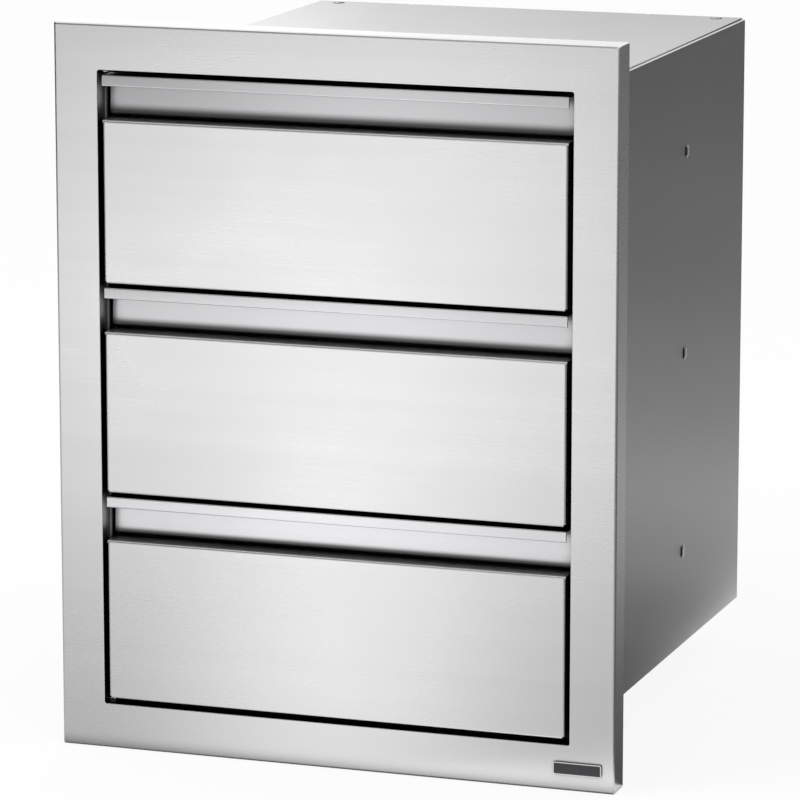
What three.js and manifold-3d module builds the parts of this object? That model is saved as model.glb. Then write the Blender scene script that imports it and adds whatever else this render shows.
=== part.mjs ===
// A built-in drawer unit for an outdoor kitchen: a stainless face frame in front of a wall, a sheet
// casing behind it, and three drawers on telescopic slides, each opened by a finger channel.
// Millimetres, +Z up, X to the right and Y into the wall. The origin is the middle of the front
// lower edge of the cut-out: the wall's face is y = 0 and the sill under the casing is z = 0.
import * as THREE from "three";
import { mergeVertices } from "three/addons/utils/BufferGeometryUtils.js";
import Module from "manifold-3d";

const wasm = await Module();
wasm.setup();

// Fits shared by every piece
const seatGap = 0.3;
const cutOverrun = 2;

// Face frame
const openingWidth = 406.4;
const openingHeight = 533.4;
const frameBorder = 38.1;
const frameSheet = 1.2;
const frameDepth = 25;
const innerReturnDepth = 14;
const frameCornerRadius = 1.6;
const openingCornerRadius = 1.6;

// Blank badge plate on the lower rail
const badgeWidth = 41;
const badgeHeight = 10.5;
const badgeThickness = 1.6;
const badgeCornerRadius = 1.5;
const badgeFromFrameEdge = 31;

// Casing behind the frame
const casingSheet = 1;
const casingSideInset = 1.6;
const casingTopInset = 1.9;
const casingFrontFlange = 13;
const casingSeamFlange = 12;
const topSheetEdgeInset = 3.4;
const backFlange = 12;

// Holes and bend reliefs along the rear edge of the casing's top
const topHoleRadius = 6;
const topHoleFromSide = 23.6;
const topHoleFromRear = 12;
const reliefFromMiddle = 112;
const reliefWidth = 4;
const reliefLength = 3;

// Lanced bridges that locate the slides on the casing's sides
const lanceHeight = 10.5;
const lanceAlongSlide = 306.9;
const lanceLength = 10;
const lanceSlope = 4;
const lanceRise = 1.3;
const lanceSlot = 1.5;

// Drawer fronts
const drawerNames = ["bottom", "centre", "top"];
const topReveal = 4.2;
const bottomReveal = 4.8;
const sideReveal = 4.2;
const drawerGap = 3.6;
const lipHeight = 9;
const fingerHeight = 27.8;
const channelDepth = 19.5;
const channelSlot = 3;
const frontSheet = 1;
const lipLayers = 2;

// Drawer boxes
const boxSheet = 1;
const boxLift = 8;
const boxHeight = 127;
const hemHeight = 12;
const linerInset = 1;
const linerWindowMargin = 2;
const linerWindowExtra = 2;
const boxBackFlange = 12;
const boxBackDrop = 4;

// Telescopic slides, three members each, with two ball cages
const slideLength = 457;
const slideHeight = 45.7;
const slideThickness = 12.7;
const slideSheet = 1.2;
const slideFromFront = 5;
const slideRearRoom = 38.9;
const slideBelowTop = 90.5;
const ballGap = 3.2;
const webGap = 1.8;
const lipRecess = 2;
const cageSheet = 0.6;
const cageLength = 200;
const cageFromFront = 125;
const stopLength = 10;
const stopHeight = 16;

// Sizes that follow from the ones above
const openingHalf = openingWidth / 2;
const frameHalf = openingHalf + frameBorder;
const faceY = -frameDepth;
const casingFront = faceY + innerReturnDepth + seatGap;
const casingHalf = openingHalf - casingSideInset;
const casingInner = casingHalf - casingSheet;
const sideBottom = casingSheet + seatGap;
const topSheetTop = openingHeight - casingTopInset;
const sideTop = topSheetTop - casingSheet - seatGap;
const frontHalf = openingHalf - sideReveal;
const gapCount = drawerNames.length - 1;
const frontHeight = (openingHeight - topReveal - bottomReveal - drawerGap * gapCount) / drawerNames.length;
const panelHeight = frontHeight - lipHeight - fingerHeight;
const channelBackY = faceY + channelDepth;
const frontRearY = channelBackY + frontSheet;
const linerY = frontRearY + seatGap;
const boxFrontY = linerY + boxSheet + seatGap;
const slideFrontY = boxFrontY + slideFromFront;
const memberLength = slideLength - stopLength - seatGap;
const casingDepth = slideFrontY + slideLength + slideRearRoom;
const lanceFromWall = slideFrontY + lanceAlongSlide;
const boxRearY = slideFrontY + memberLength;
const boxHalf = casingInner - slideThickness - seatGap * 2;

// Finishes
const brushed = new THREE.MeshStandardMaterial({ color: 0xd6d7da, roughness: 0.34, metalness: 1 });
const millFinish = new THREE.MeshStandardMaterial({ color: 0xb4b6ba, roughness: 0.42, metalness: 1 });
const zincPlate = new THREE.MeshStandardMaterial({ color: 0xa9adb3, roughness: 0.38, metalness: 1 });
const cageSteel = new THREE.MeshStandardMaterial({ color: 0x8f9399, roughness: 0.5, metalness: 1 });
const rubber = new THREE.MeshStandardMaterial({ color: 0x1c1c1d, roughness: 0.8, metalness: 0 });
const darkPlate = new THREE.MeshStandardMaterial({ color: 0x2b2c2f, roughness: 0.3, metalness: 0.6 });

const unit = new THREE.Group();

// A box between two corners, whatever order their values come in
function block([x0, x1], [y0, y1], [z0, z1]) {
  const box = new THREE.BoxGeometry(Math.abs(x1 - x0), Math.abs(y1 - y0), Math.abs(z1 - z0));
  return box.translate((x0 + x1) / 2, (y0 + y1) / 2, (z0 + z1) / 2);
}

// An outline through a list of points
function outline(points) {
  return new THREE.Shape(points.map(([a, b]) => new THREE.Vector2(a, b)));
}

// A rectangle with round corners, as a shape or as a hole
function roundedRectangle(path, [left, right], [low, high], radius) {
  path.moveTo(left + radius, low);
  path.lineTo(right - radius, low);
  path.absarc(right - radius, low + radius, radius, -Math.PI / 2, 0);
  path.lineTo(right, high - radius);
  path.absarc(right - radius, high - radius, radius, 0, Math.PI / 2);
  path.lineTo(left + radius, high);
  path.absarc(left + radius, high - radius, radius, Math.PI / 2, Math.PI);
  path.lineTo(left, low + radius);
  path.absarc(left + radius, low + radius, radius, Math.PI, Math.PI * 1.5);
  return path;
}

const cornerSteps = 5;

// An outline in X and Z, pushed back from a front plane along Y
function alongDepth(shape, frontY, depth) {
  const body = new THREE.ExtrudeGeometry(shape, { depth, bevelEnabled: false, curveSegments: cornerSteps });
  return body.rotateX(Math.PI / 2).translate(0, frontY + depth, 0);
}

// An outline in Y and Z, drawn out across the width from its left end
function alongWidth(shape, left, width) {
  const body = new THREE.ExtrudeGeometry(shape, { depth: width, bevelEnabled: false });
  return body.rotateX(Math.PI / 2).rotateZ(Math.PI / 2).translate(left, 0, 0);
}

// An outline in X and Y, drawn up from a level
function alongHeight(shape, low, height) {
  const body = new THREE.ExtrudeGeometry(shape, { depth: height, bevelEnabled: false });
  return body.translate(0, 0, low);
}

// A geometry as a solid that can be joined and cut
function solidOf(geometry) {
  const bare = geometry.clone();
  bare.deleteAttribute("normal");
  bare.deleteAttribute("uv");
  const merged = mergeVertices(bare);
  const vertProperties = new Float32Array(merged.attributes.position.array);
  const triVerts = new Uint32Array(merged.index.array);
  return new wasm.Manifold(new wasm.Mesh({ numProp: 3, vertProperties, triVerts }));
}

// Joins the first list of geometries and cuts the second list out
function shaped(joined, cut = []) {
  let solid = solidOf(joined[0]);
  for (const more of joined.slice(1)) solid = solid.add(solidOf(more));
  for (const less of cut) solid = solid.subtract(solidOf(less));
  const mesh = solid.getMesh();
  const geometry = new THREE.BufferGeometry();
  geometry.setAttribute("position", new THREE.BufferAttribute(mesh.vertProperties, mesh.numProp));
  geometry.setIndex(new THREE.BufferAttribute(mesh.triVerts, 1));
  const flat = geometry.toNonIndexed();
  flat.computeVertexNormals();
  return flat;
}

// Adds one piece to a group under its own name
function addPiece(group, name, geometry, material) {
  const mesh = new THREE.Mesh(geometry, material);
  mesh.name = name;
  group.add(mesh);
}

// The face frame: one sheet bent back round its outside and round the opening
function faceFrame() {
  const outerX = [-frameHalf, frameHalf];
  const outerZ = [-frameBorder, openingHeight + frameBorder];
  const openX = [-openingHalf, openingHalf];
  const openZ = [0, openingHeight];
  const grown = ([a, b], by) => [a - by, b + by];
  const ring = (outX, outZ, outRadius, inX, inZ, inRadius) => {
    const shape = roundedRectangle(new THREE.Shape(), outX, outZ, outRadius);
    shape.holes.push(roundedRectangle(new THREE.Path(), inX, inZ, inRadius));
    return shape;
  };
  const plate = ring(outerX, outerZ, frameCornerRadius, openX, openZ, openingCornerRadius);
  const outerReturn = ring(
    outerX,
    outerZ,
    frameCornerRadius,
    grown(outerX, -frameSheet),
    grown(outerZ, -frameSheet),
    frameCornerRadius - frameSheet,
  );
  const innerReturn = ring(
    grown(openX, frameSheet),
    grown(openZ, frameSheet),
    openingCornerRadius + frameSheet,
    openX,
    openZ,
    openingCornerRadius,
  );
  return shaped([
    alongDepth(plate, faceY, frameSheet),
    alongDepth(outerReturn, faceY, frameDepth),
    alongDepth(innerReturn, faceY, innerReturnDepth),
  ]);
}

// The badge: a plain plate with nothing on it
function blankBadge() {
  const middle = frameHalf - badgeFromFrameEdge;
  const half = badgeWidth / 2;
  const level = -frameBorder / 2;
  const shape = roundedRectangle(
    new THREE.Shape(),
    [middle - half, middle + half],
    [level - badgeHeight / 2, level + badgeHeight / 2],
    badgeCornerRadius,
  );
  return alongDepth(shape, faceY - seatGap - badgeThickness, badgeThickness);
}

// How high the middle of a drawer's slides lies
function slideLevel(drawer) {
  return drawerBottom(drawer) + frontHeight - slideBelowTop;
}

function drawerBottom(drawer) {
  return bottomReveal + drawer * (frontHeight + drawerGap);
}

// A half bridge pushed out of the side sheet, open towards the front
function lanceBridge(side, level) {
  const rear = lanceFromWall + lanceLength;
  const crest = rear - lanceSlope;
  const out = (distance) => side * (casingHalf + distance);
  const shape = outline([
    [out(-casingSheet), rear],
    [out(0), rear],
    [out(lanceRise), crest],
    [out(lanceRise), lanceFromWall],
    [out(lanceRise - casingSheet), lanceFromWall],
    [out(lanceRise - casingSheet), crest],
  ]);
  return alongHeight(shape, level - lanceHeight / 2, lanceHeight);
}

// The slot that a half bridge leaves in the sheet
function lanceWindow(side, level) {
  const reach = [side * (casingInner - cutOverrun), side * casingHalf];
  const front = lanceFromWall - lanceSlot;
  const rear = lanceFromWall + lanceLength - lanceSlope;
  return block(reach, [front, rear], [level - lanceHeight / 2, level + lanceHeight / 2]);
}

// One side of the casing: flanged out at the front, and in at its top and bottom from the wall on
function casingSide(side) {
  const levels = drawerNames.map((name, drawer) => slideLevel(drawer));
  const wall = [side * casingInner, side * casingHalf];
  const seam = [side * (casingHalf - casingSeamFlange), side * casingHalf];
  const flange = [side * casingInner, side * (casingHalf + casingFrontFlange)];
  const seamRun = [0, casingDepth];
  const sheet = shaped(
    [
      block(wall, [casingFront, casingDepth], [sideBottom, sideTop]),
      block(flange, [casingFront, casingFront + casingSheet], [sideBottom, sideTop]),
      block(seam, seamRun, [sideBottom, sideBottom + casingSheet]),
      block(seam, seamRun, [sideTop - casingSheet, sideTop]),
    ],
    levels.map((level) => lanceWindow(side, level)),
  );
  return shaped([sheet, ...levels.map((level) => lanceBridge(side, level))]);
}

// The top or bottom sheet of the casing. Its front edge is turned away from the opening, and that
// flange is as wide as the ones on the sides
function casingSheetAcross(level, turnTo) {
  const half = casingHalf - topSheetEdgeInset;
  const flangeHalf = casingHalf + casingFrontFlange;
  const flange = [level[0], level[1], turnTo];
  return [
    block([-half, half], [casingFront, casingDepth], level),
    block(
      [-flangeHalf, flangeHalf],
      [casingFront, casingFront + casingSheet],
      [Math.min(...flange), Math.max(...flange)],
    ),
  ];
}

// The casing's top, with two holes and two bend reliefs at its rear edge
function casingTop() {
  const level = [topSheetTop - casingSheet, topSheetTop];
  const through = [level[0] - cutOverrun, level[1] + cutOverrun];
  const hole = (side) => {
    const round = new THREE.CylinderGeometry(topHoleRadius, topHoleRadius, through[1] - through[0]);
    const x = side * (casingHalf - topHoleFromSide);
    return round.rotateX(Math.PI / 2).translate(x, casingDepth - topHoleFromRear, topSheetTop);
  };
  const relief = (side) => {
    const middle = side * reliefFromMiddle;
    const across = [middle - reliefWidth / 2, middle + reliefWidth / 2];
    return block(across, [casingDepth - reliefLength, casingDepth + cutOverrun], through);
  };
  const cuts = [-1, 1].flatMap((side) => [hole(side), relief(side)]);
  return shaped(casingSheetAcross(level, level[0] + casingFrontFlange), cuts);
}

function casingBottom() {
  return shaped(casingSheetAcross([0, casingSheet], casingSheet - casingFrontFlange));
}

// The casing's back, set between the sides and flanged forward along them. Between the seam
// flanges its web runs on to the top and bottom sheets
function casingBack() {
  const half = casingInner - seatGap;
  const tab = casingHalf - casingSeamFlange - seatGap;
  const front = casingDepth - backFlange;
  const inner = casingDepth - casingSheet;
  const low = sideBottom + casingSheet + seatGap;
  const high = sideTop - casingSheet - seatGap;
  const shape = outline([
    [-half, front],
    [-half + casingSheet, front],
    [-half + casingSheet, inner],
    [half - casingSheet, inner],
    [half - casingSheet, front],
    [half, front],
    [half, casingDepth],
    [-half, casingDepth],
  ]);
  return shaped([
    alongHeight(shape, low, high - low),
    block([-tab, tab], [inner, casingDepth], [sideBottom, sideTop]),
  ]);
}

// A drawer's main panel: a shallow pan open at the back
function frontPanel(bottom) {
  const top = bottom + panelHeight;
  const across = [-frontHalf, frontHalf];
  const depth = [faceY, frontRearY];
  const height = [bottom, top];
  return shaped([
    block(across, [faceY, faceY + frontSheet], height),
    block(across, depth, [top - frontSheet, top]),
    block(across, depth, [bottom, bottom + frontSheet]),
    block([-frontHalf, -frontHalf + frontSheet], depth, height),
    block([frontHalf - frontSheet, frontHalf], depth, height),
  ]);
}

// The finger channel above the panel: a back wall, a ceiling and a lip that hangs from its front
// edge. The lip is hemmed, its sheet folded back on itself
function fingerChannel(bottom) {
  const foot = bottom + panelHeight + channelSlot;
  const top = bottom + frontHeight;
  const lipFoot = top - lipHeight;
  const lipBack = faceY + frontSheet * lipLayers;
  const shape = outline([
    [channelBackY, foot],
    [frontRearY, foot],
    [frontRearY, top],
    [faceY, top],
    [faceY, lipFoot],
    [lipBack, lipFoot],
    [lipBack, top - frontSheet],
    [channelBackY, top - frontSheet],
  ]);
  return alongWidth(shape, -frontHalf, frontHalf * 2);
}

// The flat liner that closes the drawer front, with a slot behind the foot of the channel
function frontLiner(bottom) {
  const half = frontHalf - linerInset;
  const floor = bottom + panelHeight;
  const windowHalf = half - linerWindowMargin;
  const back = [linerY, linerY + boxSheet];
  return shaped(
    [block([-half, half], back, [bottom + linerInset, floor + fingerHeight])],
    [
      block(
        [-windowHalf, windowHalf],
        [linerY - cutOverrun, linerY + boxSheet + cutOverrun],
        [floor - linerWindowExtra, floor + channelSlot + linerWindowExtra],
      ),
    ],
  );
}

// The box tray: floor and two hemmed sides bent from one sheet
function boxTray(bottom) {
  const low = bottom + boxLift;
  const high = low + boxHeight;
  const floor = low + boxSheet;
  const inner = boxHalf - boxSheet;
  const hem = inner - boxSheet;
  const hemLow = high - hemHeight;
  const half = [
    [boxHalf, low],
    [boxHalf, high],
    [hem, high],
    [hem, hemLow],
    [inner, hemLow],
    [inner, floor],
  ];
  const mirrored = half.map(([x, z]) => [-x, z]).reverse();
  return alongDepth(outline([...half, ...mirrored]), boxFrontY, boxRearY - boxFrontY);
}

// The box back, set between the hemmed sides and flanged back along them
function boxBack(bottom) {
  const half = boxHalf - boxSheet * 2 - seatGap;
  const front = boxRearY - boxBackFlange;
  const rearOfSheet = front + boxSheet;
  const low = bottom + boxLift + boxSheet + seatGap;
  const shape = outline([
    [-half, front],
    [half, front],
    [half, boxRearY],
    [half - boxSheet, boxRearY],
    [half - boxSheet, rearOfSheet],
    [-half + boxSheet, rearOfSheet],
    [-half + boxSheet, boxRearY],
    [-half, boxRearY],
  ]);
  return alongHeight(shape, low, boxHeight - boxBackDrop - boxSheet);
}

// A channel section beside the casing wall: web and lip as distances from the wall
function slideSection(side, level, web, lip, halfHeight, sheet) {
  const x = (distance) => side * (casingInner - distance);
  const face = web + Math.sign(lip - web) * sheet;
  return outline([
    [x(web), level - halfHeight],
    [x(lip), level - halfHeight],
    [x(lip), level - halfHeight + sheet],
    [x(face), level - halfHeight + sheet],
    [x(face), level + halfHeight - sheet],
    [x(lip), level + halfHeight - sheet],
    [x(lip), level + halfHeight],
    [x(web), level + halfHeight],
  ]);
}

// One telescopic slide: fixed rail, carrier rail, drawer rail, their ball cages and the rear stop
function addSlide(group, name, side, level) {
  const fixedHalf = slideHeight / 2;
  const carrierHalf = fixedHalf - slideSheet - ballGap;
  const drawerHalf = carrierHalf - slideSheet - ballGap;
  const fixedWeb = seatGap;
  const carrierWeb = fixedWeb + slideSheet + webGap;
  const drawerWeb = seatGap + slideThickness;
  const openLip = drawerWeb - lipRecess;
  const drawerLip = carrierWeb + slideSheet + webGap;
  const cageIn = (webGap - cageSheet) / 2;
  const cageOut = (ballGap - cageSheet) / 2;
  const rail = (part, web, lip, halfHeight, length) => {
    const section = slideSection(side, level, web, lip, halfHeight, slideSheet);
    addPiece(group, `${name}_${part}`, alongDepth(section, slideFrontY, length), zincPlate);
  };
  const cage = (part, web, halfHeight) => {
    const section = slideSection(side, level, web, openLip - cageIn, halfHeight, cageSheet);
    const frontY = slideFrontY + cageFromFront;
    addPiece(group, `${name}_${part}`, alongDepth(section, frontY, cageLength), cageSteel);
  };
  rail("fixed_rail", fixedWeb, openLip, fixedHalf, slideLength);
  rail("carrier_rail", carrierWeb, openLip, carrierHalf, memberLength);
  rail("drawer_rail", drawerWeb, drawerLip, drawerHalf, memberLength);
  cage("outer_cage", fixedWeb + slideSheet + cageIn, fixedHalf - slideSheet - cageOut);
  cage("inner_cage", carrierWeb + slideSheet + cageIn, carrierHalf - slideSheet - cageOut);
  const stopFrom = fixedWeb + slideSheet + seatGap;
  const stop = block(
    [side * (casingInner - stopFrom), side * (casingInner - openLip)],
    [slideFrontY + slideLength - stopLength, slideFrontY + slideLength],
    [level - stopHeight / 2, level + stopHeight / 2],
  );
  addPiece(group, `${name}_rail_stop`, stop, rubber);
}

addPiece(unit, "face_frame", faceFrame(), brushed);
addPiece(unit, "blank_badge", blankBadge(), darkPlate);
addPiece(unit, "casing_left_side", casingSide(-1), millFinish);
addPiece(unit, "casing_right_side", casingSide(1), millFinish);
addPiece(unit, "casing_top", casingTop(), millFinish);
addPiece(unit, "casing_bottom", casingBottom(), millFinish);
addPiece(unit, "casing_back", casingBack(), millFinish);

drawerNames.forEach((name, drawer) => {
  const group = new THREE.Group();
  const bottom = drawerBottom(drawer);
  addPiece(group, `${name}_front_panel`, frontPanel(bottom), brushed);
  addPiece(group, `${name}_finger_channel`, fingerChannel(bottom), brushed);
  addPiece(group, `${name}_front_liner`, frontLiner(bottom), millFinish);
  addPiece(group, `${name}_box_tray`, boxTray(bottom), millFinish);
  addPiece(group, `${name}_box_back`, boxBack(bottom), millFinish);
  addSlide(group, `${name}_left`, -1, slideLevel(drawer));
  addSlide(group, `${name}_right`, 1, slideLevel(drawer));
  unit.add(group);
});

export default unit;
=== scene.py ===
# %% [markdown]
# This notebook dresses the drawer unit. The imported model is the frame: it says where every piece
# lies and which body carries it. Nothing in it is moved. New meshes are built round it in metres,
# and each one takes the place of the plain solid that it refines.

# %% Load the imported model
import math

import bmesh
import bpy
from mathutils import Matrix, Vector


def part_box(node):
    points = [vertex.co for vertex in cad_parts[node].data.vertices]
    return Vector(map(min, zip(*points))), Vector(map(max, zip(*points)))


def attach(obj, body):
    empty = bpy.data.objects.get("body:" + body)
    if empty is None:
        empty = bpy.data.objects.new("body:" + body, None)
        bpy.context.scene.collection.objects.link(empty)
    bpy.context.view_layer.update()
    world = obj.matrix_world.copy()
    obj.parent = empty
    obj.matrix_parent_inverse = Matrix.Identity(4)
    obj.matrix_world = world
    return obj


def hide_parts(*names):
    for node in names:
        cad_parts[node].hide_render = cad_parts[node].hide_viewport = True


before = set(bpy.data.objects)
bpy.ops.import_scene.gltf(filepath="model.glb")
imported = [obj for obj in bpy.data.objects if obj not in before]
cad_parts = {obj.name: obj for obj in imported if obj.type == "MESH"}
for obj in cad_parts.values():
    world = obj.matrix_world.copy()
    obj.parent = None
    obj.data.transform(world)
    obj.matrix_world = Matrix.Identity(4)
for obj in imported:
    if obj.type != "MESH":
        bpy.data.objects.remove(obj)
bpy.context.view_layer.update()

MM = 0.001
DRAWERS = ("bottom", "centre", "top")
SIDES = (("left", -1), ("right", 1))

# %% [markdown]
# The camera comes first, because every finish is judged through it. The photograph is taken from
# the right and from above with a very long lens, so the unit's edges hardly converge. The lens,
# the place and the two angles were solved from the corners of the frame and of the casing.

# %% Camera
CAMERA_PLACE = (1.3130, -3.6528, 1.0569)
CAMERA_YAW = math.radians(19.080)
CAMERA_PITCH = math.radians(11.496)
CAMERA_REACH = 100.0
SENSOR = 36.0
FOCAL_PIXELS = 4847.5
PHOTO_PIXELS = 800

camera_data = bpy.data.cameras.new("photo_camera")
camera_data.sensor_width = SENSOR
camera_data.lens = FOCAL_PIXELS / PHOTO_PIXELS * SENSOR
camera_data.clip_end = CAMERA_REACH
camera = bpy.data.objects.new("photo_camera", camera_data)
camera.location = CAMERA_PLACE
camera.rotation_euler = (math.pi / 2 - CAMERA_PITCH, 0.0, CAMERA_YAW)
bpy.context.collection.objects.link(camera)
bpy.context.scene.camera = camera
bpy.context.scene.view_settings.view_transform = "Standard"
print("lens", round(camera_data.lens, 1), "mm")

# %% [markdown]
# Almost every piece here is folded sheet metal. A folded sheet is easiest to build as a thin
# surface: a grid of points that follows the outside of the metal, with a short arc at each fold.
# The Solidify modifier then gives it the real thickness, and a Bevel modifier takes the sharpness
# off the cut edges. Patches that share points are welded, so a flange can hang on a wall.

# %% Folded sheets as surfaces
FOLD_STEPS = 5
PLACE_DIGITS = 7


class Sheet:
    """A thin surface made of patches. Points that coincide are shared."""

    def __init__(self):
        self.points, self.faces, self.index = [], [], {}

    def point(self, place):
        key = tuple(round(c, PLACE_DIGITS) for c in place)
        if key not in self.index:
            self.index[key] = len(self.points)
            self.points.append(tuple(place))
        return self.index[key]

    def face(self, places):
        corners = []
        for corner in (self.point(place) for place in places):
            if corner not in corners:
                corners.append(corner)
        if len(corners) > 2:
            self.faces.append(corners)

    def patch(self, rows, closed=False):
        """A grid of points, each row the next line of the surface."""
        for low, high in zip(rows, rows[1:]):
            count = len(low) if closed else len(low) - 1
            for c in range(count):
                n = (c + 1) % len(low)
                self.face([low[c], low[n], high[n], high[c]])
        return self


def folded(line, radii):
    """An open line in two dimensions whose inner corners become arcs. One radius may serve all."""
    if not isinstance(radii, list):
        radii = [radii] * (len(line) - 2)
    points = [line[0]]
    for before, corner, after, radius in zip(line, line[1:], line[2:], radii):
        a, b, c = Vector(before), Vector(corner), Vector(after)
        back, ahead = (a - b).normalized(), (c - b).normalized()
        half = back.angle(ahead) / 2
        reach = radius / math.tan(half)
        centre = b + (back + ahead).normalized() * (radius / math.sin(half))
        start, end = b + back * reach - centre, b + ahead * reach - centre
        turn = start.angle_signed(end)
        for k in range(FOLD_STEPS + 1):
            t = turn * k / FOLD_STEPS
            spoke = Vector((start.x * math.cos(t) + start.y * math.sin(t),
                            start.y * math.cos(t) - start.x * math.sin(t)))
            points.append(tuple(centre + spoke))
    points.append(line[-1])
    return points


def swept(line, axis, stops):
    """Rows of a patch: the line is repeated at each stop along an axis."""
    place = {"x": lambda s, a, b: (s, a, b),
             "y": lambda s, a, b: (a, s, b),
             "z": lambda s, a, b: (a, b, s)}[axis]
    return [[place(s, a, b) for s in stops] for a, b in line]


print("a right-angled fold has", len(folded([(0, 0), (1, 0), (1, 1)], 0.2)), "points")

# %% [markdown]
# Holes and slots are punched while the sheet is still flat. A Boolean modifier could cut them, but
# it leaves thin stray faces. Here the flat part is a grid, and the cells of an opening are simply
# left out. A round hole lies in a square field of its own, which eight faces close up to the ring.

# %% Flat patches with holes
HOLE_SPOKES = 16
FIELD_EDGE = [(1, 0), (1, 1), (0, 1), (-1, 1), (-1, 0), (-1, -1), (0, -1), (1, -1)]


def stops_between(low, high, marks):
    """Both ends and every mark between them, in order."""
    inside = [m for m in marks if low < m < high]
    return sorted({round(m, PLACE_DIGITS) for m in (low, high, *inside)})


def circle_points(u, v, radius, count):
    turns = [math.tau * k / count for k in range(count)]
    return [(u + radius * math.cos(t), v + radius * math.sin(t)) for t in turns]


def flat_patch(sheet, place, us, vs, windows=(), holes=()):
    """A flat grid. A window is (u, u, v, v), a hole (u, v, radius, half side of its field)."""
    fields = [(u - half, u + half, v - half, v + half) for u, v, _, half in holes]
    left_out = [*windows, *fields]
    u_marks = [*us, *(u for area in left_out for u in area[:2]), *(hole[0] for hole in holes)]
    v_marks = [*vs, *(v for area in left_out for v in area[2:]), *(hole[1] for hole in holes)]
    us = stops_between(min(us), max(us), u_marks)
    vs = stops_between(min(vs), max(vs), v_marks)
    for u0, u1 in zip(us, us[1:]):
        for v0, v1 in zip(vs, vs[1:]):
            u, v = (u0 + u1) / 2, (v0 + v1) / 2
            if not any(area[0] < u < area[1] and area[2] < v < area[3] for area in left_out):
                sheet.face([place(u0, v0), place(u1, v0), place(u1, v1), place(u0, v1)])
    share = HOLE_SPOKES // len(FIELD_EDGE)
    for u, v, radius, half in holes:
        ring = circle_points(u, v, radius, HOLE_SPOKES)
        for k, (a, b) in enumerate(zip(FIELD_EDGE, FIELD_EDGE[1:] + FIELD_EDGE[:1])):
            arc = [ring[(k * share + j) % HOLE_SPOKES] for j in range(share + 1)]
            outer = [(u + a[0] * half, v + a[1] * half), (u + b[0] * half, v + b[1] * half)]
            sheet.face([place(*q) for q in (*outer, *reversed(arc))])
    return us, vs


print("a hole is a ring of", HOLE_SPOKES, "points")

# %% [markdown]
# Brushing leaves its lines along one direction of the sheet, and they follow the metal round each
# fold. The stretched reflection of brushed steel needs that direction on every face. A UV map is
# the usual carrier for it, so each sheet gets one, in metres, whose first axis follows the lines.

# %% The direction of the grain
GRAIN_PLANES = {"x": ((1, 2), (0, 2), (0, 1)), "y": ((1, 2), (0, 2), (1, 0))}


def lay_grain(mesh, along):
    """A UV map in metres whose first axis follows the grain, also round a fold."""
    uv = mesh.uv_layers.new(name="grain")
    for face in mesh.polygons:
        facing = max(range(3), key=lambda axis: abs(face.normal[axis]))
        first, second = GRAIN_PLANES[along][facing]
        for loop in face.loop_indices:
            place = mesh.vertices[mesh.loops[loop].vertex_index].co
            uv.data[loop].uv = (place[first], place[second])


print("grain directions:", list(GRAIN_PLANES))

# %% [markdown]
# Each surface becomes an object that rides on a body of the frame and stands for a plain solid.
# The outside has to be known before Solidify can push the metal inwards, so the face with the
# largest share along a given direction decides which way all the normals point. A lining is a
# second finish, for the inner side: Solidify gives it to the faces that it adds.

# %% From surface to object
EDGE_BEVEL = 0.12 * MM
SOFT_BEVEL = 0.4 * MM
SMOOTH_ANGLE = math.radians(35)


def bevelled(piece, width=EDGE_BEVEL, segments=2, angle=50):
    """Rounds the cut edges, then lets each large face keep its own flat shading."""
    soften = piece.modifiers.new("cut edges", "BEVEL")
    soften.width = width
    soften.segments = segments
    soften.limit_method = "ANGLE"
    soften.angle_limit = math.radians(angle)
    flatten = piece.modifiers.new("flat faces", "WEIGHTED_NORMAL")
    flatten.keep_sharp = True


def mesh_from(name, shell):
    mesh = bpy.data.meshes.new(name)
    shell.to_mesh(mesh)
    shell.free()
    return mesh


def as_object(name, mesh, body, nodes, material):
    """Links a mesh, gives it its finish and hangs it on its body."""
    mesh.polygons.foreach_set("use_smooth", [True] * len(mesh.polygons))
    mesh.set_sharp_from_angle(angle=SMOOTH_ANGLE)
    mesh.materials.append(material)
    piece = bpy.data.objects.new(name, mesh)
    bpy.context.collection.objects.link(piece)
    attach(piece, body)
    if nodes:
        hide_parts(*nodes)
    return piece


def sheet_object(name, sheet, thickness, outside, body, nodes, material, lining=None,
                 bevel=EDGE_BEVEL):
    """Turns a surface into folded metal of a real thickness."""
    shell = bmesh.new()
    verts = [shell.verts.new(p) for p in sheet.points]
    for corners in sheet.faces:
        shell.faces.new([verts[i] for i in corners])
    bmesh.ops.recalc_face_normals(shell, faces=shell.faces)
    shell.normal_update()
    direction = Vector(outside)
    widest = max(shell.faces, key=lambda f: abs(f.normal.dot(direction)) * f.calc_area())
    if widest.normal.dot(direction) < 0:
        bmesh.ops.reverse_faces(shell, faces=shell.faces)
    mesh = mesh_from(name, shell)
    lay_grain(mesh, material["grain"])
    piece = as_object(name, mesh, body, nodes, material)
    thicken = piece.modifiers.new("sheet thickness", "SOLIDIFY")
    thicken.thickness = thickness
    thicken.offset = -1.0
    thicken.use_even_offset = True
    if lining:
        mesh.materials.append(lining)
        thicken.material_offset = 1
    bevelled(piece, bevel)
    return piece


print("cut edges are rounded by", round(EDGE_BEVEL / MM, 2), "mm")

# %% [markdown]
# Stainless sheet is never one flat grey. Rolling and brushing leave fine lines, handling leaves
# faint cloudy patches, and the gaps get painted shade. Each effect is made once, as a node group
# with named sockets, and every metal places it with its own values. The groups put out only values,
# so the Principled shader stays in the material.

# %% Helpers for nodes
def new_group(name, vectors, values, outputs):
    """A node group with vectors and values going in and values coming out."""
    group = bpy.data.node_groups.new(name, "ShaderNodeTree")
    for labels, way, kind in ((vectors, "INPUT", "Vector"), (values, "INPUT", "Float"),
                              (outputs, "OUTPUT", "Float")):
        for label in labels:
            group.interface.new_socket(name=label, in_out=way, socket_type=f"NodeSocket{kind}")
    return group, group.nodes.new("NodeGroupInput"), group.nodes.new("NodeGroupOutput")


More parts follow.
